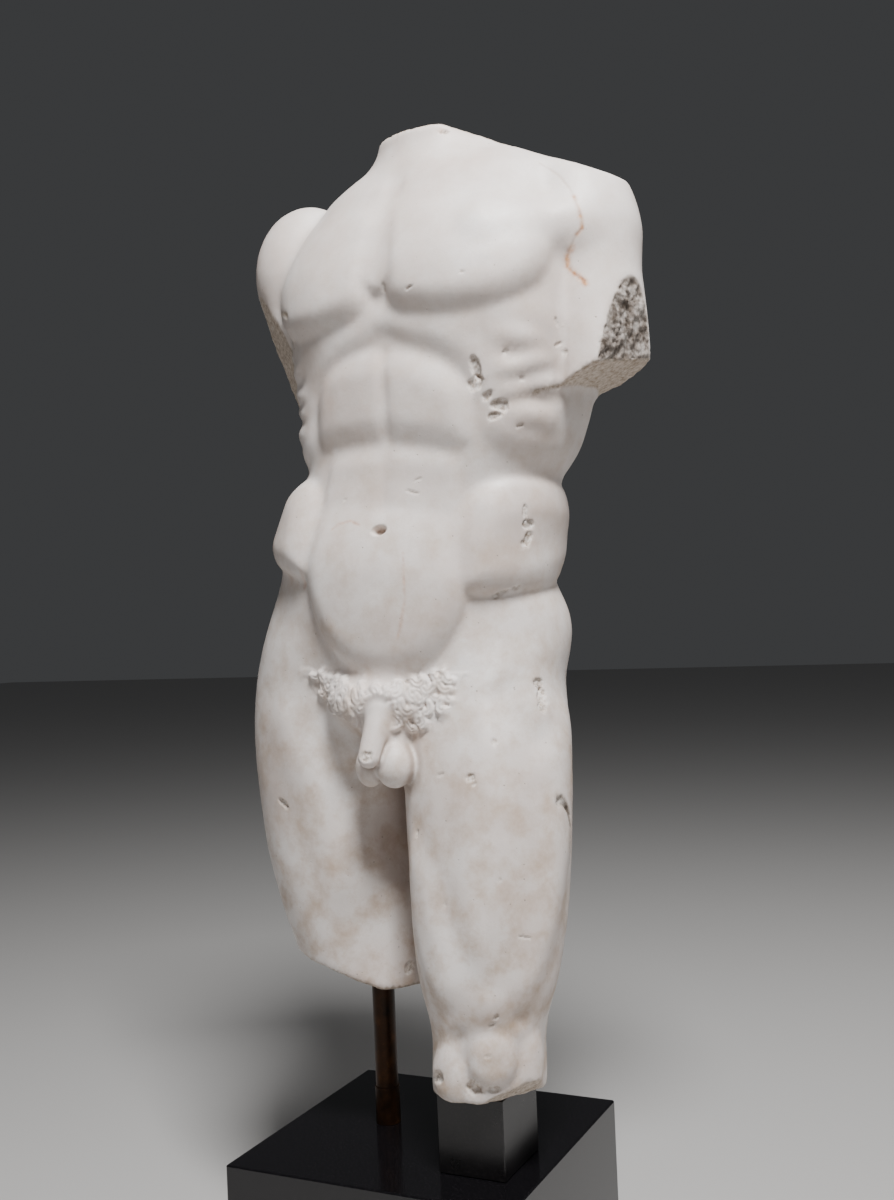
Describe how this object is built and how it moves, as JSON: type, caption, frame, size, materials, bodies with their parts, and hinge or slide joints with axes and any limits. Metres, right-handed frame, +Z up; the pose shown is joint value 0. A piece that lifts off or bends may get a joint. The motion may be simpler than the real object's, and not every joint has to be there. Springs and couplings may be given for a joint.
{
  "type": "marble torso sculpture",
  "caption": "Broken marble torso of a standing youth, held on a small knee block and a round metal rod over a low polished black stone base.",
  "frame": {"origin": "centre of the underside of the stone base", "axes": "+Z up, -Y towards the front of the base and of the figure, +X towards the figure's own left"},
  "size_m": [0.4736, 0.304, 1.2363],
  "materials": {
    "stone_base": "polished black stone",
    "knee_block": "polished black stone",
    "rod_foot": "dark brown patinated metal",
    "support_rod": "dark brown patinated metal",
    "torso": "worn white marble with rust stains"
  },
  "bodies": {
    "root": {"stone_base": "stone_base", "knee_block": "knee_block", "rod_foot": "rod_foot", "support_rod": "support_rod", "torso": "torso"}
  },
  "joints": []
}
